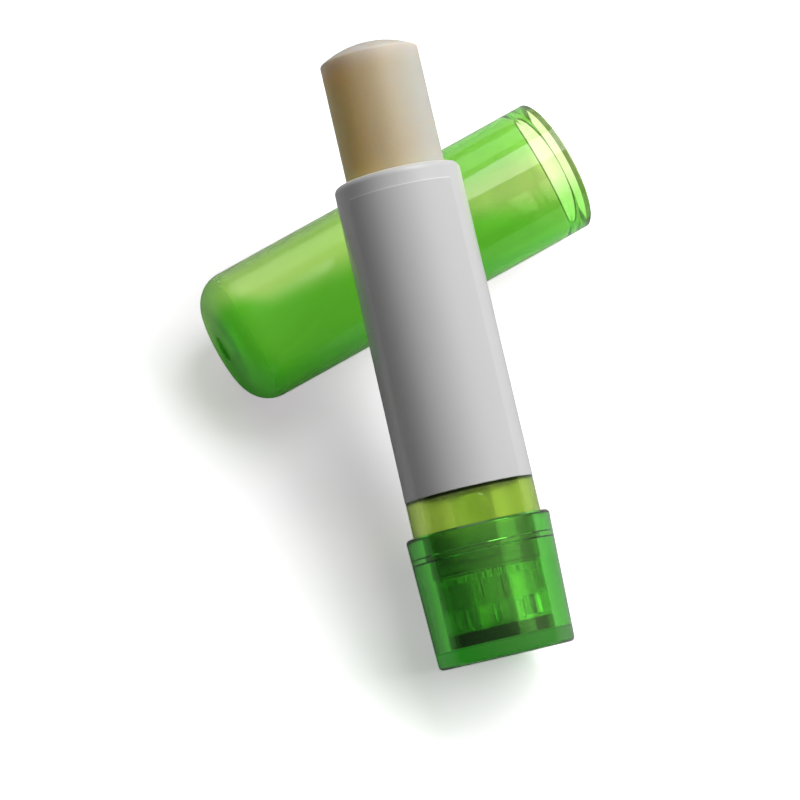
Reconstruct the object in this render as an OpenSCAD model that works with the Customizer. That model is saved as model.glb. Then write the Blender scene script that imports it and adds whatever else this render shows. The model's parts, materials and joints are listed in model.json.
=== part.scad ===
// Twist-up lip balm stick: the open stick leans on its cap, which lies on its side.
// Lengths are in millimetres and the floor is at z = 0.
// Heights on the stick count from the foot of the base, and lengths on the cap from its closed end.

/* [Base] */
// Outer diameter of the base at its top edge
base_top_d = 19; // [18.6:0.1:21]
// Outer diameter of the base at its foot
base_foot_d = 18; // [17.4:0.1:19]
// Height of the base
base_h = 17.3; // [16.5:0.1:24]
// Radius round the edge of the foot
foot_edge_r = 0.6; // [0.2:0.1:1]
// Thickness of the base's floor
base_floor_t = 2.3; // [1.5:0.1:3]
// Depth of the socket that the tube's neck turns in
socket_depth = 5.9; // [5:0.1:7.5]
// Diameter of the well under the socket
well_d = 14; // [13.8:0.1:14.6]
// Step out from the well to the socket, and again above the snap groove
socket_step = 0.22; // [0.15:0.01:0.3]

/* [Screw drive] */
// Thickness of the disc on the base's floor
disc_t = 1.7; // [1:0.1:2.4]
// Height of the ring with windows
ring_h = 3.5; // [2.5:0.1:4.5]
// Wall of the ring with windows
ring_wall = 1.1; // [0.8:0.1:1.8]
// Number of windows in the ring
window_count = 10; // [6:2:14]
// Number of fine ribs in each group on the hub
rib_count = 7; // [4:1:10]
// Distance between two ribs of the hub
rib_pitch = 0.75; // [0.6:0.05:0.9]
// Outer diameter of the screw
screw_d = 5.2; // [4.6:0.1:6]
// Height of the screw's top above the foot
screw_top = 56; // [50:0.5:58]

/* [Tube and sleeve] */
// Outer diameter of the tube at the collar
tube_d = 16.88; // [16.6:0.02:17.4]
// Diameter of the bore
bore_d = 13.24; // [12.8:0.02:13.6]
// Diameter of the bore through the neck
neck_bore_d = 12.6; // [12:0.1:12.8]
// Height of the bare collar between the base and the sleeve
collar_h = 4.75; // [3.5:0.05:7]
// Length of the white sleeve
sleeve_l = 42.2; // [38:0.1:46]
// Outer diameter of the sleeve at its lower end
sleeve_low_d = 16.97; // [16.7:0.01:17.4]
// Outer diameter of the sleeve at its rim
sleeve_rim_d = 16.77; // [16.5:0.01:17.2]
// Wall of the white sleeve
sleeve_wall = 0.95; // [0.8:0.05:1.1]
// Thickness of the sleeve's lip over the end of the tube
lip_t = 1.2; // [1:0.1:2]
// Distance of the snap bead below the base's top edge
bead_drop = 3; // [2.4:0.1:3.6]
// Radius round the rim's outer edge
rim_edge_r = 0.9; // [0.4:0.1:1]
// Height that the snap bumps stand above the collar
bump_h = 0.2; // [0.1:0.05:0.25]
// Ball radius of the snap bumps
bump_r = 5; // [3:0.1:6]
// Height of the bumps' middle above the base's top edge
bump_rise = 2.4; // [2:0.1:2.7]
// Width of the guide keyways in the bore
keyway_w = 1.5; // [1:0.1:2]
// Depth of the guide keyways in the bore
keyway_depth = 0.4; // [0.3:0.05:0.5]
// Thickness of the front label
label_t = 0.07; // [0.04:0.01:0.12]
// Angle that the front label covers round the sleeve
label_angle = 104; // [60:1:140]
// Bare sleeve between the label's top edge and the rim
label_drop = 2.45; // [1:0.05:6]

/* [Balm] */
// Diameter of the balm
balm_d = 13.1; // [12.7:0.02:13.5]
// Length of balm between the rim and the edge of its dome
balm_out = 16.1; // [6:0.1:18]
// Rise of the dome
dome_h = 1.85; // [0.8:0.05:3]
// Radius round the edge of the dome
dome_edge_r = 0.35; // [0.1:0.05:0.8]
// Length of the balm from the carrier's floor to the dome's edge
balm_l = 38; // [30:0.5:42]
// Height of the carrier's cup
carrier_h = 4.5; // [3:0.1:6]
// Wall and floor of the carrier's cup
carrier_wall = 0.8; // [0.6:0.1:1.2]
// Height of the nut under the carrier's floor
nut_h = 3; // [2:0.1:4]

/* [Cap] */
// Length of the cap
cap_l = 52.7; // [48.5:0.1:58]
// Outer diameter of the cap at its mouth
cap_mouth_d = 18.86; // [18.7:0.01:20]
// Outer diameter of the cap at its closed end
cap_end_d = 18.44; // [18.3:0.01:19.8]
// Diameter of the cap's bore
cap_bore_d = 17.2; // [17.06:0.01:17.5]
// Radius round the edge of the closed end
cap_end_r = 4.3; // [2:0.1:6]
// Thickness of the closed end
cap_end_t = 1.3; // [0.9:0.1:2]
// Diameter of the wide mouth inside the rim
mouth_bore_d = 17.7; // [17.55:0.01:17.9]
// Depth of the wide mouth
mouth_depth = 5.5; // [5:0.1:8]
// Distance of the snap bead from the rim
bead_depth = 2.45; // [2:0.05:4]

/* [How it lies] */
// Lean of the stick above the floor
lean = 18.47; // [17:0.01:21]
// Angle between the stick and the cap, seen from above
cross_angle = 72; // [50:0.5:100]
// Place on the cap that the stick leans on
cross_at = 25.82; // [18:0.01:34]
// Turn of the stick about its own axis that brings the bumps and the label on top
stick_roll = 174.5; // [150:0.5:200]

/* [Clearances] */
// Radial clearance where one piece turns in another
run_gap = 0.06; // [0.03:0.01:0.1]
// Clearance between pieces that are pushed together
seat_gap = 0.03; // [0.02:0.01:0.05]
// Gap between the stick and the cap that it leans on
lean_gap = 0.1; // [0.05:0.05:0.3]

/* [Hidden] */
$fn = 96;

// Heights on the stick
seat_z = base_h - socket_depth;
collar_top_z = base_h + collar_h;
rim_z = collar_top_z + sleeve_l;
tube_top_z = rim_z - lip_t;
disc_top_z = base_floor_t + disc_t;
hub_low_z = disc_top_z + ring_h;
bump_z = base_h + bump_rise;
balm_edge_z = rim_z + balm_out;
balm_low_z = balm_edge_z - balm_l;
carrier_low_z = balm_low_z - carrier_wall;
label_top_z = rim_z - label_drop;

// Radii that the pieces share
tube_r = tube_d / 2;
bore_r = bore_d / 2;
neck_bore_r = neck_bore_d / 2;
well_r = well_d / 2;
socket_low_r = well_r + socket_step;
socket_r = socket_low_r + socket_step;
neck_low_r = socket_low_r - run_gap;
neck_r = socket_r - run_gap;
barrel_r = sleeve_rim_d / 2 - sleeve_wall;
screw_r = screw_d / 2;
keyway_r = bore_r + keyway_depth;
keyway_angles = [-40, 140];
insert_r = well_r - seat_gap;

// Snap bead of the tube, in its groove in the socket
bead_z = base_h - bead_drop;
bead_h = 0.7;
bead_out = 0.25;
bead_play = 0.1;

// Bosses and small edges
gate_r = 1.4;
gate_depth = 0.35;
cap_gate_r = 1.8;
cap_gate_depth = 0.6;
small_edge = 0.25;
tube_end_gap = 0.2;
hub_play = 0.2;
hub_shoulder_r = neck_bore_r - hub_play;
hub_shoulder_h = 1.6;
hub_cone_h = 2.4;
rib_depth = 0.3;
hub_wall = 1.1;
rib_groups = 4;
window_bar = 1;
window_edge = 0.5;
nut_r = 4;
key_r = keyway_r - run_gap;
key_w = keyway_w - 2 * run_gap;
carrier_r = bore_r - run_gap;
key_root_r = carrier_r - carrier_wall / 2;
balm_core_play = 0.15;
balm_core_r = screw_r + balm_core_play;
balm_core_roof = 2.2;
cap_bead_h = 0.15;
cap_bead_w = 1.5;
mouth_ramp = 1.2;
least_inner_r = 0.5;
label_gap = 0.01;
seam_turn = 15; // turns the collar's seam away from the snap bumps
cut = 1;

// Points along an arc from angle a to angle b, where first = 1 leaves out the point at a
function arc(centre, r, a, b, steps = 8, first = 0) = [
  for (i = [first : steps]) centre + r * [cos(a + (b - a) * i / steps), sin(a + (b - a) * i / steps)]
];

// Outer radius of the base, of the sleeve and of the cap at a place along their axes
function base_r(z) = (base_foot_d + (base_top_d - base_foot_d) * z / base_h) / 2;
function sleeve_r(z) = (sleeve_low_d + (sleeve_rim_d - sleeve_low_d) * (z - collar_top_z) / sleeve_l) / 2;
function cap_r(t) = (cap_end_d + (cap_mouth_d - cap_end_d) * t / cap_l) / 2;

// The cap's axis, tilted by its draft so that it lies on its side
cap_tilt = asin((cap_mouth_d - cap_end_d) / 2 / cap_l);
cap_axis = [cos(cap_tilt), 0, sin(cap_tilt)];
cap_end = [0, 0, cap_end_d / 2 * cos(cap_tilt)];

// The foot's round edge stands on the floor, and the sleeve leans on the cap over cross_at
stick_axis = [cos(lean) * cos(cross_angle), cos(lean) * sin(cross_angle), sin(lean)];
across = cross(cap_axis, stick_axis);
lean_way = across / norm(across);
foot_height = (base_foot_d / 2 - foot_edge_r) * cos(lean) + foot_edge_r * (1 - sin(lean));
function lean_point(r) = cap_end + cross_at * cap_axis + (cap_r(cross_at) + lean_gap + r) * lean_way;
function lean_z(r) = (lean_point(r).z - foot_height) / sin(lean);
lean_r = sleeve_r(lean_z(sleeve_low_d / 2));
stick_foot = lean_point(lean_r) - lean_z(lean_r) * stick_axis;

// The box round everything, from the discs that bound it, centres the origin
stick_discs = [
  [foot_edge_r, base_foot_d / 2],
  [base_h, base_top_d / 2],
  [balm_edge_z - dome_edge_r, balm_d / 2],
  [balm_edge_z + dome_h, 0]
];
cap_discs = [[0, cap_end_d / 2 - cap_end_r], [cap_end_r, cap_end_d / 2], [cap_l, cap_mouth_d / 2]];
function ends(discs, start, along) = [
  for (disc = discs, side = [-1, 1]) start + disc[0] * along + side * disc[1] * sqrt(1 - along * along)
];
x_ends = concat(ends(stick_discs, stick_foot.x, stick_axis.x), ends(cap_discs, cap_end.x, cap_axis.x));
y_ends = concat(ends(stick_discs, stick_foot.y, stick_axis.y), ends(cap_discs, cap_end.y, cap_axis.y));
centring = [-(min(x_ends) + max(x_ends)) / 2, -(min(y_ends) + max(y_ends)) / 2, 0];

// Puts a piece drawn upright on the stick's axis where the stick leans
module on_stick() {
  translate(stick_foot + centring)
    rotate([0, 90 - lean, cross_angle])
      rotate([0, 0, stick_roll])
        children();
}

// Puts a piece drawn upright on the cap's axis where the cap lies
module on_cap() {
  translate(cap_end + centring)
    rotate([0, 90 - cap_tilt, 0])
      children();
}

// Clear green cup that the fingers turn
module base_shell() {
  foot_r = base_foot_d / 2;
  color([0.18, 0.62, 0.16, 0.7])
    on_stick()
      difference() {
        rotate_extrude()
          polygon(concat(
            [[0, 0]],
            arc([foot_r - foot_edge_r, foot_edge_r], foot_edge_r, -90, 0, 5),
            [
              [base_r(base_h - small_edge), base_h - small_edge],
              [base_r(base_h) - small_edge, base_h],
              [socket_r + small_edge, base_h],
              [socket_r, base_h - small_edge],
              [socket_r, bead_z + bead_h / 2 + bead_play],
              [socket_r + bead_out, bead_z + bead_h / 4 + bead_play],
              [socket_r + bead_out, bead_z - bead_h / 4 - bead_play],
              [socket_low_r, bead_z - bead_h / 2 - bead_play],
              [socket_low_r, seat_z],
              [well_r, seat_z],
              [well_r, base_floor_t],
              [0, base_floor_t]
            ]
          ));
        translate([0, 0, -cut])
          cylinder(r = gate_r, h = cut + gate_depth);
      }
}

// Disc that lies on the base's floor, with a socket for the spindle's stem
module base_disc() {
  color([0.06, 0.3, 0.08, 0.9])
    on_stick()
      difference() {
        translate([0, 0, base_floor_t + seat_gap])
          cylinder(r = insert_r, h = disc_t - seat_gap);
        translate([0, 0, disc_top_z - disc_t / 2])
          cylinder(r = screw_r + run_gap, h = disc_t);
      }
}

// Ring of bars and windows between the disc and the hub
module spacer_ring() {
  window_h = ring_h - 2 * window_edge;
  step = 360 / window_count;
  window_w = 2 * PI * insert_r / window_count - window_bar;
  color([0.3, 0.75, 0.2, 0.7])
    on_stick()
      difference() {
        translate([0, 0, disc_top_z + seat_gap])
          cylinder(r = insert_r, h = ring_h - 2 * seat_gap);
        translate([0, 0, disc_top_z - cut])
          cylinder(r = insert_r - ring_wall, h = ring_h + 2 * cut);
        for (i = [0 : window_count - 1])
          rotate([0, 0, (i + 0.5) * step])
            translate([insert_r - ring_wall - cut, -window_w / 2, disc_top_z + window_edge])
              cube([ring_wall + 2 * cut, window_w, window_h]);
      }
}

// Screw core with the ribbed hub that is pressed into the well
module screw_spindle() {
  hub_r = insert_r - rib_depth;
  rib_angle = rib_pitch / insert_r * 180 / PI;
  hub_roof_z = seat_z - hub_wall;
  color([0.3, 0.72, 0.2, 0.7])
    on_stick() {
      rotate_extrude()
        polygon([
          [0, disc_top_z - disc_t / 2 + seat_gap],
          [screw_r, disc_top_z - disc_t / 2 + seat_gap],
          [screw_r, hub_roof_z],
          [hub_r - hub_wall, hub_roof_z],
          [hub_r - hub_wall, hub_low_z],
          [hub_r, hub_low_z],
          [hub_r, seat_z],
          [hub_shoulder_r, seat_z],
          [hub_shoulder_r, seat_z + hub_shoulder_h],
          [screw_r, seat_z + hub_shoulder_h + hub_cone_h],
          [screw_r, screw_top - small_edge],
          [screw_r - small_edge, screw_top],
          [0, screw_top]
        ]);
      for (group = [0 : rib_groups - 1])
        for (i = [0 : rib_count - 1])
          rotate([0, 0, group * 360 / rib_groups + (i - (rib_count - 1) / 2) * rib_angle])
            translate([hub_r - small_edge, -rib_pitch / 4, hub_low_z])
              cube([rib_depth + small_edge - seat_gap, rib_pitch / 2, seat_z - hub_low_z]);
    }
}

// Clear tube: neck that turns in the base, collar with snap bumps, and bore with two keyways
module tube() {
  low_z = seat_z + tube_end_gap;
  collar_low_z = base_h + run_gap;
  color([0.62, 0.78, 0.2, 0.6])
    on_stick()
      difference() {
        union() {
          rotate([0, 0, seam_turn])
            rotate_extrude()
              polygon([
                [0, low_z],
                [neck_low_r - small_edge, low_z],
                [neck_low_r, low_z + small_edge],
                [neck_low_r, bead_z - bead_h / 2],
                [neck_r + bead_out, bead_z - bead_h / 4],
                [neck_r + bead_out, bead_z + bead_h / 4],
                [neck_r, bead_z + bead_h / 2],
                [neck_r, collar_low_z],
                [tube_r, collar_low_z],
                [tube_r, collar_top_z],
                [barrel_r, collar_top_z],
                [barrel_r, tube_top_z],
                [0, tube_top_z]
              ]);
          for (side = [0, 180])
            rotate([0, 0, side])
              intersection() {
                translate([tube_r + bump_h - bump_r, 0, bump_z])
                  sphere(r = bump_r);
                translate([barrel_r, -bump_r, collar_low_z])
                  cube([bump_r, 2 * bump_r, collar_top_z - collar_low_z]);
              }
        }
        translate([0, 0, low_z - cut])
          cylinder(r = neck_bore_r, h = tube_top_z);
        translate([0, 0, base_h])
          cylinder(r = bore_r, h = tube_top_z);
        for (a = keyway_angles)
          rotate([0, 0, a])
            translate([0, -keyway_w / 2, collar_top_z + small_edge])
              cube([keyway_r, keyway_w, tube_top_z]);
      }
}

// White sleeve over the tube, closed down to the bore at its rim
module white_sleeve() {
  color([0.93, 0.93, 0.93])
    on_stick()
      rotate_extrude()
        polygon(concat(
          [
            [barrel_r + seat_gap, collar_top_z + seat_gap],
            [sleeve_low_d / 2, collar_top_z + seat_gap]
          ],
          arc([sleeve_rim_d / 2 - rim_edge_r, rim_z - rim_edge_r], rim_edge_r, 0, 90, 6),
          [
            [bore_r + small_edge / 2, rim_z],
            [bore_r, rim_z - small_edge / 2],
            [bore_r, tube_top_z + seat_gap],
            [barrel_r + seat_gap, tube_top_z + seat_gap]
          ]
        ));
}

// Blank label on the front of the sleeve
module label() {
  low_z = collar_top_z + 2 * seat_gap;
  color([0.85, 0.85, 0.86])
    on_stick()
      rotate([0, 0, -label_angle / 2])
        rotate_extrude(angle = label_angle)
          polygon([
            [sleeve_r(low_z) + label_gap, low_z],
            [sleeve_r(low_z) + label_t, low_z],
            [sleeve_r(label_top_z) + label_t, label_top_z],
            [sleeve_r(label_top_z) + label_gap, label_top_z]
          ]);
}

// Cup that carries the balm, with its nut and its guide keys
module carrier_cup() {
  color([0.9, 0.9, 0.86])
    on_stick()
      difference() {
        union() {
          translate([0, 0, carrier_low_z])
            cylinder(r = carrier_r, h = carrier_h);
          translate([0, 0, carrier_low_z - nut_h])
            cylinder(r = nut_r, h = nut_h + carrier_wall / 2);
          for (a = keyway_angles)
            rotate([0, 0, a])
              translate([key_root_r, -key_w / 2, carrier_low_z + small_edge])
                cube([key_r - key_root_r, key_w, carrier_h - 2 * small_edge]);
        }
        translate([0, 0, balm_low_z])
          cylinder(r = carrier_r - carrier_wall, h = carrier_h);
        translate([0, 0, carrier_low_z - nut_h - cut])
          cylinder(r = screw_r + run_gap, h = nut_h + carrier_wall + 2 * cut);
      }
}

// Wax stick with a shallow dome, hollow for the screw
module balm() {
  balm_r = balm_d / 2;
  cup_r = carrier_r - carrier_wall - seat_gap;
  cup_top_z = carrier_low_z + carrier_h;
  dome_r = (balm_r * balm_r + dome_h * dome_h) / (2 * dome_h);
  edge_a = acos((balm_r - dome_edge_r) / (dome_r - dome_edge_r));
  edge_drop = (dome_r - dome_edge_r) * sin(edge_a);
  crown_z = balm_edge_z + dome_h - dome_r;
  color([0.93, 0.88, 0.74])
    on_stick()
      rotate_extrude()
        polygon(concat(
          [
            [balm_core_r, balm_low_z + seat_gap],
            [cup_r, balm_low_z + seat_gap],
            [cup_r, cup_top_z + seat_gap],
            [balm_r, cup_top_z + seat_gap]
          ],
          arc([balm_r - dome_edge_r, crown_z + edge_drop], dome_edge_r, 0, edge_a, 4),
          arc([0, crown_z], dome_r, edge_a, 90, 10, 1),
          [
            [0, balm_edge_z - balm_core_roof],
            [balm_core_r - small_edge, balm_edge_z - balm_core_roof],
            [balm_core_r, balm_edge_z - balm_core_roof - small_edge]
          ]
        ));
}

// Clear green cap: draft outside, straight bore, wide mouth with a snap bead inside the rim
module cap() {
  end_r = cap_end_d / 2;
  inner_r = cap_bore_d / 2;
  inner_edge_r = max(cap_end_r - (end_r - inner_r), least_inner_r);
  wide_r = mouth_bore_d / 2;
  bead_ball_r = (cap_bead_w * cap_bead_w / 4 + cap_bead_h * cap_bead_h) / (2 * cap_bead_h);
  bead_a = asin(cap_bead_w / 2 / bead_ball_r);
  bead_centre = [wide_r - cap_bead_h + bead_ball_r, cap_l - bead_depth];
  color([0.35, 0.78, 0.15, 0.6])
    on_cap()
      difference() {
        rotate_extrude()
          polygon(concat(
            [[0, 0]],
            arc([end_r - cap_end_r, cap_end_r], cap_end_r, -90, 0, 10),
            arc([cap_mouth_d / 2 - small_edge, cap_l - small_edge], small_edge, 0, 90, 4),
            [
              [wide_r + small_edge, cap_l],
              [wide_r, cap_l - 3 * small_edge]
            ],
            arc(bead_centre, bead_ball_r, 180 - bead_a, 180 + bead_a, 6),
            [
              [wide_r, cap_l - mouth_depth + mouth_ramp],
              [inner_r, cap_l - mouth_depth]
            ],
            arc([inner_r - inner_edge_r, cap_end_t + inner_edge_r], inner_edge_r, 0, -90, 8),
            [[0, cap_end_t]]
          ));
        translate([0, 0, -cut])
          cylinder(r = cap_gate_r, h = cut + cap_gate_depth);
      }
}

base_shell();
base_disc();
spacer_ring();
screw_spindle();
tube();
white_sleeve();
label();
carrier_cup();
balm();
cap();
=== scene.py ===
"""Looks for the twist-up lip balm stick that leans on its clear green cap.

Lengths and places are in metres, in the frame of the CAD model, and the floor is at z = 0.
"""

import json
import math

import bmesh
import bpy
from mathutils import Matrix, Vector


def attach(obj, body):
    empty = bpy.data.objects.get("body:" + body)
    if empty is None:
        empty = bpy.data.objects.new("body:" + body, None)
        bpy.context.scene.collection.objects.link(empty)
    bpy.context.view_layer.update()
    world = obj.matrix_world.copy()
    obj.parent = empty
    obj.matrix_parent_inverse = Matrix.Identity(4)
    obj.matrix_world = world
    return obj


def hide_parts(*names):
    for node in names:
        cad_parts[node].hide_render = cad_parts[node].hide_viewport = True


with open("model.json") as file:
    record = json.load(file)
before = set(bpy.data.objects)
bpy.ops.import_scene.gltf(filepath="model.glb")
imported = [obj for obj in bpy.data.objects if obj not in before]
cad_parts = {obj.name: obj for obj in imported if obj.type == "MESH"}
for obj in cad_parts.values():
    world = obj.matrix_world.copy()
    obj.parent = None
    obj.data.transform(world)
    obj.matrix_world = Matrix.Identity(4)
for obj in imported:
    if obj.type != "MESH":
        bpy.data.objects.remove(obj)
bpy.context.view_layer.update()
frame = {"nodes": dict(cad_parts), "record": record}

MM = 0.001
UP = Vector((0.0, 0.0, 1.0))
NODES = frame["nodes"]
JOINTS = {joint["name"]: joint for joint in frame["record"]["behaviour"]["joints"]}
MOUNTS = {mount["name"]: mount for mount in frame["record"]["mounts"]}

# Heights on the stick are measured along its axis from the middle of its foot
STICK_FOOT = Vector(JOINTS["base_turn"]["pos_m"])
STICK_AXIS = Vector(JOINTS["base_turn"]["axis"])
STICK_LINE = (STICK_FOOT, STICK_AXIS)
STICK_ROLL = math.radians(174.5)
BALM_EDGE = 80.35 * MM
BALM_DOME = 1.85 * MM
STICK_TOP = BALM_EDGE + BALM_DOME

# Heights on the cap are measured along its axis from its closed end, and its straight bore ends at the mouth
CAP_BORE = MOUNTS["cap_bore"]
CAP_BORE_R = CAP_BORE["dims"]["r_mm"] * MM
CAP_BORE_LENGTH = CAP_BORE["dims"]["length_mm"] * MM
CAP_LENGTH = 52.7 * MM
CAP_MOUTH_DEPTH = 5.5 * MM
CAP_AXIS = Vector(CAP_BORE["axis"])
CAP_END = Vector(CAP_BORE["pos_m"]) - (CAP_LENGTH - CAP_MOUTH_DEPTH - CAP_BORE_LENGTH / 2) * CAP_AXIS
CAP_LINE = (CAP_END, CAP_AXIS)

# The view was fitted to the photograph's outlines, and its lens is in millimetres
CAMERA_AT = Vector((-106.489, -154.373, 422.924)) * MM
CAMERA_LOOKS_AT = Vector((-7.933, 5.408, 0.0)) * MM
CAMERA_LENS = 153.0
CAMERA_SENSOR = 36.0
CAMERA_NEAREST = 10 * MM

# Level directions away from the camera and to the right of the picture, and directions across the two axes
AWAY = (CAMERA_LOOKS_AT - CAMERA_AT).to_2d().to_3d().normalized()
RIGHT = AWAY.cross(UP)
STICK_ACROSS = (RIGHT - STICK_AXIS * RIGHT.dot(STICK_AXIS)).normalized()
CAP_ACROSS = UP.cross(CAP_AXIS).normalized()

# Half the side of the square floor, its drop, so that it never lies in one plane with the object, and the
# distances from the object's middle at which it turns white to the camera and matt behind the clear plastic
FLOOR_HALF = 1.5
FLOOR_DROP = 0.01 * MM
FLOOR_WHITE_FADE = (0.15, 0.5)
FLOOR_MATT_FADE = (0.05, 0.22)
LAMP_DISTANCE = 0.6
LIGHT_BOUNCES = 24

# A noise texture's values vary about this one
NOISE_MIDDLE = 0.5

# Clear plastic: its flow draws the noise out along the piece by this share of the height, the noise has its
# deep and pale colours at these values, the marks of the flow vary the roughness by a share of it, polish
# leaves a share of it, and the haze of the inside fades this far on either side of its radius
DRAWN_OUT = 0.85
CLOUD_FADE = (0.36, 0.64)
MARKS_SHARE = 0.5
POLISHED_SHARE = 0.5
HAZE_FADE = 0.05 * MM

# Painted light: the pale strip on one side of a moulding, lit as if by the lamps. Where its edge fades, how
# far the edge waves, and how the strip widens with the height on the piece, past its closed end, and towards
# its mouth
STRIP_FADE = (3.7 * MM, 8.6 * MM)
STRIP_WAVE = 9 * MM
STRIP_WIDENS = 0.06
STRIP_START = (2 * MM, 8 * MM)
STRIP_START_WIDENS = 3 * MM
STRIP_MOUTH = (34 * MM, 46 * MM)
STRIP_MOUTH_WIDENS = 2.4 * MM

# Where the strip is narrow, the wall's far side loses this share of it, and its colour is multiplied by this,
# as painted shade
FAR_SIDE = (5 * MM, 8 * MM)
FAR_SIDE_CUT = 0.8
NARROW_PAINTED_SHADE = 0.9

# Heights below the foot of the stick, and a radius past every wall of it
BELOW_FOOT = (-2 * MM, -1 * MM)
PAST_WALL = 20 * MM

# Turned pieces: flat sides round the axis, and the least angle of an edge that stays sharp
COLUMNS = 240
SHARP_EDGE = math.radians(28)


class Wire:
    """A socket that takes part in sums: every operator adds its Math node."""

    def __init__(self, finish, socket):
        self.finish = finish
        self.socket = socket

    def maths(self, operation, *values):
        return self.finish.add("Math", {"operation": operation}, dict(enumerate(values)))

    def __add__(self, other):
        return self.maths("ADD", self, other)

    __radd__ = __add__

    def __sub__(self, other):
        return self.maths("SUBTRACT", self, other)

    def __rsub__(self, other):
        return self.maths("SUBTRACT", other, self)

    def __mul__(self, other):
        return self.maths("MULTIPLY", self, other)

    __rmul__ = __mul__


class Finish:
    """The node tree of a material or of the world."""

    def __init__(self, owner):
        self.owner = owner
        owner.use_nodes = True
        self.tree = owner.node_tree
        self.tree.nodes.clear()

    def add(self, kind, settings=None, inputs=None, out=0):
        """Any node: its settings come first, then the values or links of its sockets, by name or by place."""
        node = self.tree.nodes.new("ShaderNode" + kind)
        for name, value in (settings or {}).items():
            setattr(node, name, value)
        for key, value in (inputs or {}).items():
            self.feed(self.socket_of(node.inputs, key), value)
        return Wire(self, self.socket_of(node.outputs, out)) if node.outputs else None

    @staticmethod
    def socket_of(sockets, key):
        shown = [s for s in sockets if s.enabled]
        return shown[key] if isinstance(key, int) else next(s for s in shown if s.name == key)

    def feed(self, socket, value):
        if isinstance(value, Wire):
            self.tree.links.new(value.socket, socket)
        elif socket.type == "RGBA":
            socket.default_value = (*value, 1.0)
        else:
            socket.default_value = value

    def mix(self, share, low, high):
        return self.add("Mix", {"data_type": "RGBA"}, {"Factor": share, "A": low, "B": high})

    def mix_shaders(self, share, low, high):
        return self.add("MixShader", {}, {0: share, 1: low, 2: high})

    def ray(self, kind):
        """1 where the light's path is of one kind."""
        return self.add("LightPath", out=kind)

    def place(self):
        return self.add("TexCoord", out="Object")

    def noise(self, place, scale, detail):
        return self.add("TexNoise", {}, {"Vector": place, "Scale": scale, "Detail": detail})

    def bump(self, height, distance, strength):
        return self.add("Bump", {}, {"Height": height, "Distance": distance, "Strength": strength})

    def vector(self, operation, *values, out=0):
        return self.add("VectorMath", {"operation": operation}, dict(enumerate(values)), out)

    def step(self, value, low, high):
        """Rises softly from 0 at low to 1 at high."""
        ends = {"Value": value, "From Min": low, "From Max": high}
        return self.add("MapRange", {"interpolation_type": "SMOOTHSTEP"}, ends)

    def along(self, start, axis):
        """Distance from a start in the direction of an axis."""
        away = self.vector("SUBTRACT", self.place(), tuple(start))
        return self.vector("DOT_PRODUCT", away, tuple(axis), out="Value")

    def out_from(self, start, axis):
        """Distance out from an axis."""
        away = self.vector("SUBTRACT", self.place(), tuple(start))
        return self.vector("LENGTH", self.vector("CROSS_PRODUCT", away, tuple(axis)), out="Value")

    def end(self, surface, volume=None):
        """Joins the shaders to the output, and gives back the finished material or world."""
        output = "OutputWorld" if isinstance(self.owner, bpy.types.World) else "OutputMaterial"
        shaders = {"Surface": surface}
        if volume is not None:
            shaders["Volume"] = volume
        self.add(output, {}, shaders)
        return self.owner


def new_finish(name):
    return Finish(bpy.data.materials.new(name))


def wear_finish(piece, finish):
    """Puts one material on every slot of a piece."""
    for slot in piece.material_slots:
        slot.material = finish
    if not piece.material_slots:
        piece.data.materials.append(finish)


def grey(value):
    return (value, value, value)


def uneven(marks, middle, spread):
    """A value that varies about its middle with a noise."""
    return (marks - NOISE_MIDDLE) * spread + middle


def ring_share(f, line, low, high, reach, soft, soft_out):
    """1 in a ring round a line, between two heights on it and out to a radius, and 0 elsewhere."""
    height = f.along(*line)
    between = f.step(height, low, low + soft) * (1.0 - f.step(height, high, high + soft))
    return between * (1.0 - f.step(f.out_from(*line), reach, reach + soft_out))


def painted_light_strip_share(f, line, side, narrow, cloud):
    """1 in the strip of painted light on one side of a moulding, and 0 elsewhere. Past the two narrow heights
    the strip draws back from the far side of the wall."""
    start, axis = line
    height = f.along(start, axis)
    across = f.along(start, side)
    past_end = f.step(height, *STRIP_START) * STRIP_START_WIDENS
    at_mouth = f.step(height, *STRIP_MOUTH) * STRIP_MOUTH_WIDENS
    reach = across + cloud * STRIP_WAVE + height * STRIP_WIDENS + past_end + at_mouth
    drawn_back = f.step(across, *FAR_SIDE) * f.step(height, *narrow) * FAR_SIDE_CUT
    return f.step(reach, *STRIP_FADE) * (1.0 - drawn_back)


def moulded_roughness(f, line, flow, rough, inner, polish):
    """The roughness of a moulding, with a haze out to the radius of its inside. A moulding with two polish
    heights is rougher below them, and between them it grows glossy inside and outside."""
    outside = uneven(flow, rough, MARKS_SHARE * rough)
    if inner is None:
        return outside
    radius, haze = inner
    blur = (1.0 - f.step(f.out_from(*line), radius - HAZE_FADE, radius + HAZE_FADE)) * haze
    if polish is None:
        return outside + blur
    return outside * POLISHED_SHARE + (blur + rough) * (1.0 - f.step(f.along(*line), *polish))


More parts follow.
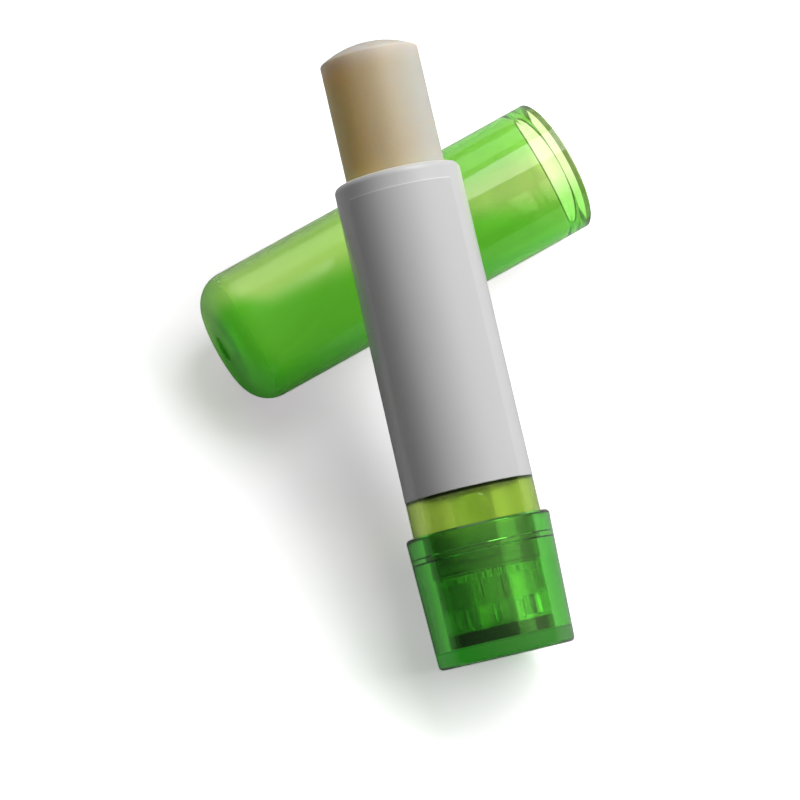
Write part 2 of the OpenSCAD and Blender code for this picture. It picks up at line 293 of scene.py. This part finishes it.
def clear_plastic(
    name, line, deep, pale, through, rough, tint, density, shade,
    inner=None, polish=None, strip=None, bands=(),
):
    """Moulded see-through plastic. Its surface varies between a deep and a pale colour, through is the share
    of light that enters it, its depth adds the tint, and its shadow has the shade's colour. line is the start
    and direction in which the plastic flowed. inner is (radius, haze) of its inside, polish the heights
    between which it grows glossy, strip (side, narrow heights) of its paler strip of painted light, with
    painted shade past the narrow heights, and bands are rings of painted shade and painted light in another
    colour, each (low, high, reach, colour)."""
    f = new_finish(name)
    start, axis = line
    drawn = f.vector("SCALE", tuple(axis), f.along(start, axis) * DRAWN_OUT)
    grain = f.vector("SUBTRACT", f.place(), drawn)
    flow = f.noise(grain, scale=260.0, detail=2.0)
    cloud = f.noise(grain, scale=95.0, detail=1.0)
    if strip is None:
        share = f.step(cloud, *CLOUD_FADE)
    else:
        side, narrow = strip
        # Painted light: the pale strip on one side of the piece, dimmed by painted shade past the narrow
        # heights
        share = painted_light_strip_share(f, line, side, narrow, cloud)
        painted_shade_pale = tuple(NARROW_PAINTED_SHADE * part for part in pale)
        pale = f.mix(f.step(f.along(start, axis), *narrow), pale, painted_shade_pale)
    colour = f.mix(share, deep, pale)
    for low, high, reach, band_colour in bands:
        band = ring_share(f, line, low, high, reach, soft=0.1 * MM, soft_out=0.05 * MM)
        colour = f.mix(band, colour, band_colour)
    body = f.add("BsdfPrincipled", {}, {
        "Base Color": colour,
        "Transmission Weight": through,
        "IOR": 1.5,
        "Roughness": moulded_roughness(f, line, flow, rough, inner, polish),
        "Normal": f.bump(flow, distance=0.03 * MM, strength=0.25),
    })
    lamp_light = f.add("BsdfTransparent", {}, {"Color": shade})
    depth = f.add("VolumeAbsorption", {}, {"Color": tint, "Density": density})
    return f.end(f.mix_shaders(f.ray("Is Shadow Ray"), body, lamp_light), depth)


def solid_plastic(name, colour, dark, rough, coat=0.0, edge=None):
    """Opaque white plastic or film, a little darker in places. edge is (low, reach, colour) of a painted
    highlight, the lighter line where its cut edge would catch the light, above a height on the stick and out
    to a radius."""
    f = new_finish(name)
    cloud = f.noise(f.place(), scale=90.0, detail=3.0)
    fine = f.noise(f.place(), scale=2500.0, detail=2.0)
    tone = f.mix(cloud, dark, colour)
    # Painted highlight: a lighter line along the cut edge
    if edge is not None:
        low, reach, highlight_colour = edge
        shine = ring_share(f, STICK_LINE, low, STICK_TOP, reach, soft=0.05 * MM, soft_out=0.1 * MM)
        tone = f.mix(shine, tone, highlight_colour)
    return f.end(f.add("BsdfPrincipled", {}, {
        "Base Color": tone,
        "Roughness": uneven(cloud, middle=rough, spread=0.12),
        "Coat Weight": coat,
        "Coat Roughness": 0.16,
        "Normal": f.bump(fine, distance=0.01 * MM, strength=0.4),
    }))


def wax():
    """Cast balm with painted light and shade: orange-brown on the shaded left, as if lit through the wax,
    pale on the lit right, and paler on its crown.
    """
    amber_painted_shade = (1.0, 0.73, 0.25)
    tan_painted_half_shade = (0.67, 0.55, 0.34)
    cream_painted_light = (0.66, 0.65, 0.58)
    crown = (0.76, 0.71, 0.64)
    tan_fade = (-6.5 * MM, -0.5 * MM)
    cream_fade = (-1.5 * MM, 6.5 * MM)
    crown_fade = (77.4 * MM, 81.4 * MM)
    wave = 2 * MM
    f = new_finish("balm_wax")
    cloud = f.noise(f.place(), scale=120.0, detail=4.0)
    fine = f.noise(f.place(), scale=1800.0, detail=3.0)
    # Painted light and shade across the stick: deep on the side away from the lamps, pale on the side towards
    # them
    across = uneven(cloud, f.along(STICK_FOOT, STICK_ACROSS), wave)
    tone = f.mix(f.step(across, *tan_fade), amber_painted_shade, tan_painted_half_shade)
    tone = f.mix(f.step(across, *cream_fade), tone, cream_painted_light)
    tone = f.mix(f.step(f.along(*STICK_LINE), *crown_fade), tone, crown)
    return f.end(f.add("BsdfPrincipled", {}, {
        "Base Color": tone,
        "Roughness": uneven(fine, middle=0.45, spread=0.2),
        "Subsurface Weight": 1.0,
        "Subsurface Radius": (0.75, 0.5, 0.3),
        "Subsurface Scale": 4 * MM,
        "Coat Weight": 0.2,
        "Coat Roughness": 0.4,
        "Normal": f.bump(fine, distance=0.03 * MM, strength=0.5),
    }))


FINISHES = {
    "cap": clear_plastic(
        "cap_green", CAP_LINE,
        deep=(0.27, 0.74, 0.12),
        pale=(0.91, 0.99, 0.58),
        through=0.96,
        rough=0.10,
        tint=(0.38, 0.84, 0.10),
        density=560.0,
        shade=(0.86, 0.73, 0.90),
        inner=(9.0 * MM, 0.22),
        polish=(26.0 * MM, 47.0 * MM),
        # Painted light: a pale strip across the cap where lamp light would glow through onto its far inner
        # wall
        strip=(CAP_ACROSS, (25 * MM, 35 * MM)),
        # Painted shade: a dark ring inside the rim, standing in for the inner lip's dark internal reflection
        bands=[(51.9 * MM, 52.5 * MM, 9.08 * MM, (0.04, 0.07, 0.01))],
    ),
    "base_shell": clear_plastic(
        "base_green", STICK_LINE,
        deep=(0.29, 0.50, 0.22),
        pale=(0.79, 1.0, 0.55),
        through=0.93,
        rough=0.05,
        tint=(0.30, 0.86, 0.14),
        density=500.0,
        shade=(0.86, 0.70, 0.90),
        inner=(8.4 * MM, 0.03),
        # Painted light and shade: pale on the side towards the lamps, deep on the shaded side
        strip=(STICK_ACROSS, BELOW_FOOT),
        # Painted light: a paler ring at the foot, where light would glow through the foot
        bands=[(-1 * MM, 2.2 * MM, PAST_WALL, (0.93, 0.98, 0.66))],
    ),
    # Painted shade: the disc's dark green stands in for the dark band where light is lost inside the base
    "base_disc": clear_plastic(
        "disc_green", STICK_LINE,
        deep=(0.10, 0.36, 0.08),
        pale=(0.14, 0.44, 0.12),
        through=0.7,
        rough=0.1,
        tint=(0.02, 0.3, 0.05),
        density=700.0,
        shade=grey(0.5),
    ),
    "spacer_ring": clear_plastic(
        "ring_green", STICK_LINE,
        deep=(0.88, 0.99, 0.76),
        pale=(0.95, 1.0, 0.86),
        through=0.95,
        rough=0.06,
        tint=(0.20, 0.8, 0.10),
        density=130.0,
        shade=grey(0.75),
    ),
    "screw_spindle": clear_plastic(
        "drive_green", STICK_LINE,
        deep=(0.90, 0.98, 0.68),
        pale=(0.95, 0.99, 0.78),
        through=0.93,
        rough=0.07,
        tint=(0.60, 0.84, 0.20),
        density=90.0,
        shade=grey(0.75),
    ),
    "tube": clear_plastic(
        "tube_lime", STICK_LINE,
        deep=(0.60, 0.74, 0.24),
        pale=(0.78, 0.88, 0.44),
        through=0.9,
        rough=0.04,
        tint=(0.70, 0.84, 0.10),
        density=320.0,
        shade=grey(0.75),
        inner=(7.9 * MM, 0.22),
        # Painted shadow: a dark ring on the collar just under the sleeve's lower edge
        bands=[(21.65 * MM, 22.3 * MM, PAST_WALL, (0.08, 0.12, 0.02))],
    ),
    "white_sleeve": solid_plastic(
        "sleeve_white",
        colour=grey(0.76),
        dark=grey(0.73),
        rough=0.34,
        coat=0.35,
        # Painted highlight: a warm bright line along the sleeve's rim, where it would reflect light and the
        # balm
        edge=(64.0 * MM, 8.2 * MM, (0.97, 0.92, 0.82)),
    ),
    "label": solid_plastic(
        "label_white",
        colour=grey(0.71),
        dark=grey(0.68),
        rough=0.5,
        # Painted highlight: a bright line along the label's top edge
        edge=(61.64 * MM, PAST_WALL, grey(0.89)),
    ),
    "carrier_cup": solid_plastic(
        "carrier_white",
        colour=(0.8, 0.8, 0.76),
        dark=(0.76, 0.76, 0.72),
        rough=0.45,
    ),
    "balm": wax(),
}
for node, finish in FINISHES.items():
    wear_finish(NODES[node], finish)


def put_in_scene(name, data):
    """A new object for a mesh, a lamp or the camera."""
    holder = bpy.data.objects.new(name, data)
    bpy.context.scene.collection.objects.link(holder)
    return holder


def arc(across, along, radius, start, stop, steps):
    """Points of an outline on a circle, each (out from the axis, along it). Angles are in degrees."""
    turns = [math.radians(start + (stop - start) * i / steps) for i in range(steps + 1)]
    return [(across + radius * math.cos(a), along + radius * math.sin(a)) for a in turns]


def turned(name, outline, line, roll=0.0):
    """A piece turned from a closed outline round a line, smooth but for its true edges."""
    start, axis = line
    place = (
        Matrix.Translation(start)
        @ Matrix.Rotation(math.atan2(axis.y, axis.x), 4, "Z")
        @ Matrix.Rotation(math.acos(axis.z), 4, "Y")
        @ Matrix.Rotation(roll, 4, "Z")
    )
    shape = bmesh.new()
    rings = []
    for across, along in outline:
        # A point on the axis isn't turned, and the faces next to it have three corners
        count = COLUMNS if across > 0 else 1
        angles = [math.tau * k / count for k in range(count)]
        points = [Vector((across * math.cos(a), across * math.sin(a), along)) for a in angles]
        rings.append([shape.verts.new(place @ point) for point in points])
    for low, high in zip(rings, rings[1:] + rings[:1]):
        if len(low) == len(high) == 1:
            continue
        for k in range(COLUMNS):
            n = k + 1
            corners = [low[k % len(low)], low[n % len(low)], high[n % len(high)], high[k % len(high)]]
            shape.faces.new(list(dict.fromkeys(corners)))
    bmesh.ops.recalc_face_normals(shape, faces=shape.faces)
    for face in shape.faces:
        face.smooth = True
    mesh = bpy.data.meshes.new(name)
    shape.to_mesh(mesh)
    shape.free()
    mesh.set_sharp_from_angle(angle=SHARP_EDGE)
    return put_in_scene(name, mesh)


def stand_for(piece, node, body):
    """Shows a piece instead of a CAD node."""
    wear_finish(piece, FINISHES[node])
    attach(piece, body)
    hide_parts(node)


def cap_outline():
    """The cap's section: dimpled end, round corner, drafted wall, rim, snap bead and straight bore."""
    end_r = 9.22 * MM
    rim_r = 9.43 * MM
    mouth_r = 8.85 * MM
    mouth_ramp = 1.2 * MM
    corner = 4.3 * MM
    inner_corner = corner - (end_r - CAP_BORE_R)
    end_wall = 1.3 * MM
    edge = 0.25 * MM
    dimple_r = 1.8 * MM
    dimple_depth = 0.6 * MM
    bead_depth = 2.45 * MM
    bead_h = 0.15 * MM
    bead_half = 0.75 * MM
    bead_arc_r = (bead_half**2 + bead_h**2) / (2 * bead_h)
    bead_turn = math.degrees(math.asin(bead_half / bead_arc_r))
    bead_centre = (mouth_r - bead_h + bead_arc_r, CAP_LENGTH - bead_depth)
    lead_in = 3 * edge
    mouth_end = CAP_LENGTH - CAP_MOUTH_DEPTH
    return (
        [(0, dimple_depth)]
        + arc(dimple_r - edge, dimple_depth - edge, edge, 90, 0, steps=5)
        + arc(dimple_r + edge, edge, edge, 180, 270, steps=5)
        + arc(end_r - corner, corner, corner, -90, 0, steps=28)
        + arc(rim_r - edge, CAP_LENGTH - edge, edge, 0, 90, steps=6)
        + [(mouth_r + edge, CAP_LENGTH), (mouth_r, CAP_LENGTH - lead_in)]
        + arc(*bead_centre, bead_arc_r, 180 - bead_turn, 180 + bead_turn, steps=12)
        + [(mouth_r, mouth_end + mouth_ramp), (CAP_BORE_R, mouth_end)]
        + arc(CAP_BORE_R - inner_corner, end_wall + inner_corner, inner_corner, 0, -90, steps=24)
        + [(0, end_wall)]
    )


def balm_outline():
    """The wax: straight side, tight edge and shallow dome, over the carrier cup and the screw."""
    side_r = 6.55 * MM
    edge = 0.35 * MM
    cup_r = 5.73 * MM
    cup_top = 46.05 * MM
    low_end = 42.38 * MM
    seat_gap = 0.03 * MM
    seat = cup_top + seat_gap
    core_r = 2.75 * MM
    core_edge = 0.25 * MM
    roof_wall = 2.2 * MM
    roof = BALM_EDGE - roof_wall
    dome_r = (side_r**2 + BALM_DOME**2) / (2 * BALM_DOME)
    dome_centre = STICK_TOP - dome_r
    meet = math.acos((side_r - edge) / (dome_r - edge))
    edge_centre = (side_r - edge, dome_centre + (dome_r - edge) * math.sin(meet))
    return (
        [(core_r, low_end), (cup_r, low_end), (cup_r, seat), (side_r, seat)]
        + arc(*edge_centre, edge, 0, math.degrees(meet), steps=6)
        + arc(0, dome_centre, dome_r, math.degrees(meet), 90, steps=20)[1:-1]
        + [(0, STICK_TOP), (0, roof), (core_r - core_edge, roof), (core_r, roof - core_edge)]
    )


stand_for(turned("cap_wall", cap_outline(), CAP_LINE), "cap", "loose_cap")
stand_for(turned("balm_stick", balm_outline(), STICK_LINE, STICK_ROLL), "balm", "balm_carrier")


def face_object(holder, at):
    """Sets a lamp or the camera at a place and turns it to the middle of the object."""
    holder.matrix_world = (CAMERA_LOOKS_AT - at).to_track_quat("-Z", "Y").to_matrix().to_4x4()
    holder.location = at


def build_floor():
    """A matt floor. The camera sees it nearly white, with the object's shadow, and it is brighter through the
    clear plastic too. Far from the object the first turns white and the second matt."""
    signs = ((-1, -1), (1, -1), (1, 1), (-1, 1))
    corners = [(x * FLOOR_HALF, y * FLOOR_HALF, -FLOOR_DROP) for x, y in signs]
    mesh = bpy.data.meshes.new("floor")
    mesh.from_pydata(corners, [], [(0, 1, 2, 3)])
    floor = put_in_scene("floor", mesh)

    f = new_finish("floor_white")
    distance = f.vector("LENGTH", f.place(), out="Value")
    matt = f.add("BsdfDiffuse", {}, {"Color": grey(0.62)})
    white = f.add("Emission", {}, {"Color": grey(1.0), "Strength": 1.0})
    pale = f.add("AddShader", {}, {
        0: f.add("BsdfDiffuse", {}, {"Color": grey(1.5)}),
        1: f.add("Emission", {}, {"Color": grey(1.0), "Strength": 0.36}),
    })
    glowing = f.add("AddShader", {}, {
        0: f.add("BsdfDiffuse", {}, {"Color": grey(1.1)}),
        1: f.add("Emission", {}, {"Color": grey(1.0), "Strength": 0.6}),
    })
    seen = f.mix_shaders(f.step(distance, *FLOOR_WHITE_FADE), pale, white)
    behind = f.mix_shaders(f.step(distance, *FLOOR_MATT_FADE), glowing, matt)
    open_air = f.mix_shaders(f.ray("Is Camera Ray"), matt, seen)
    floor.data.materials.append(f.end(f.mix_shaders(f.ray("Is Transmission Ray"), open_air, behind)))


def build_world():
    """White to the camera, grey through the clear plastic, and nearly dark as light on the object."""
    world = bpy.data.worlds.new("studio")
    bpy.context.scene.world = world
    f = Finish(world)
    dim = f.add("Background", {}, {"Color": grey(1.0), "Strength": 0.05})
    half = f.add("Background", {}, {"Color": grey(1.0), "Strength": 0.5})
    white = f.add("Background", {}, {"Color": grey(1.0), "Strength": 1.0})
    unseen = f.mix_shaders(f.ray("Is Transmission Ray"), dim, half)
    f.end(f.mix_shaders(f.ray("Is Camera Ray"), unseen, white))


def build_camera():
    camera = bpy.data.cameras.new("camera")
    camera.lens = CAMERA_LENS
    camera.sensor_width = CAMERA_SENSOR
    camera.clip_start = CAMERA_NEAREST
    holder = put_in_scene("camera", camera)
    face_object(holder, CAMERA_AT)
    bpy.context.scene.camera = holder


def area_lamp(name, height, turn, width, power, mirrored=True):
    """A round soft box. Its height over the floor and turn from the right of the picture are in degrees."""
    lamp = bpy.data.lights.new(name, "AREA")
    lamp.shape = "DISK"
    lamp.size = width
    lamp.energy = power
    holder = put_in_scene(name, lamp)
    holder.visible_glossy = mirrored
    rise = math.radians(height)
    swing = math.radians(turn)
    level = math.cos(swing) * RIGHT + math.sin(swing) * AWAY
    face_object(holder, CAMERA_LOOKS_AT + LAMP_DISTANCE * (math.cos(rise) * level + math.sin(rise) * UP))


build_floor()
build_world()
build_camera()
area_lamp("side_key", height=44, turn=5, width=0.42, power=1.7, mirrored=False)
area_lamp("top_key", height=56, turn=55, width=0.42, power=1.7)
area_lamp("back_rim", height=30, turn=110, width=0.4, power=0.35)

scene = bpy.context.scene
scene.view_settings.view_transform = "Standard"
scene.cycles.caustics_reflective = False
scene.cycles.caustics_refractive = False
scene.cycles.max_bounces = LIGHT_BOUNCES
scene.cycles.transmission_bounces = LIGHT_BOUNCES
scene.cycles.transparent_max_bounces = LIGHT_BOUNCES
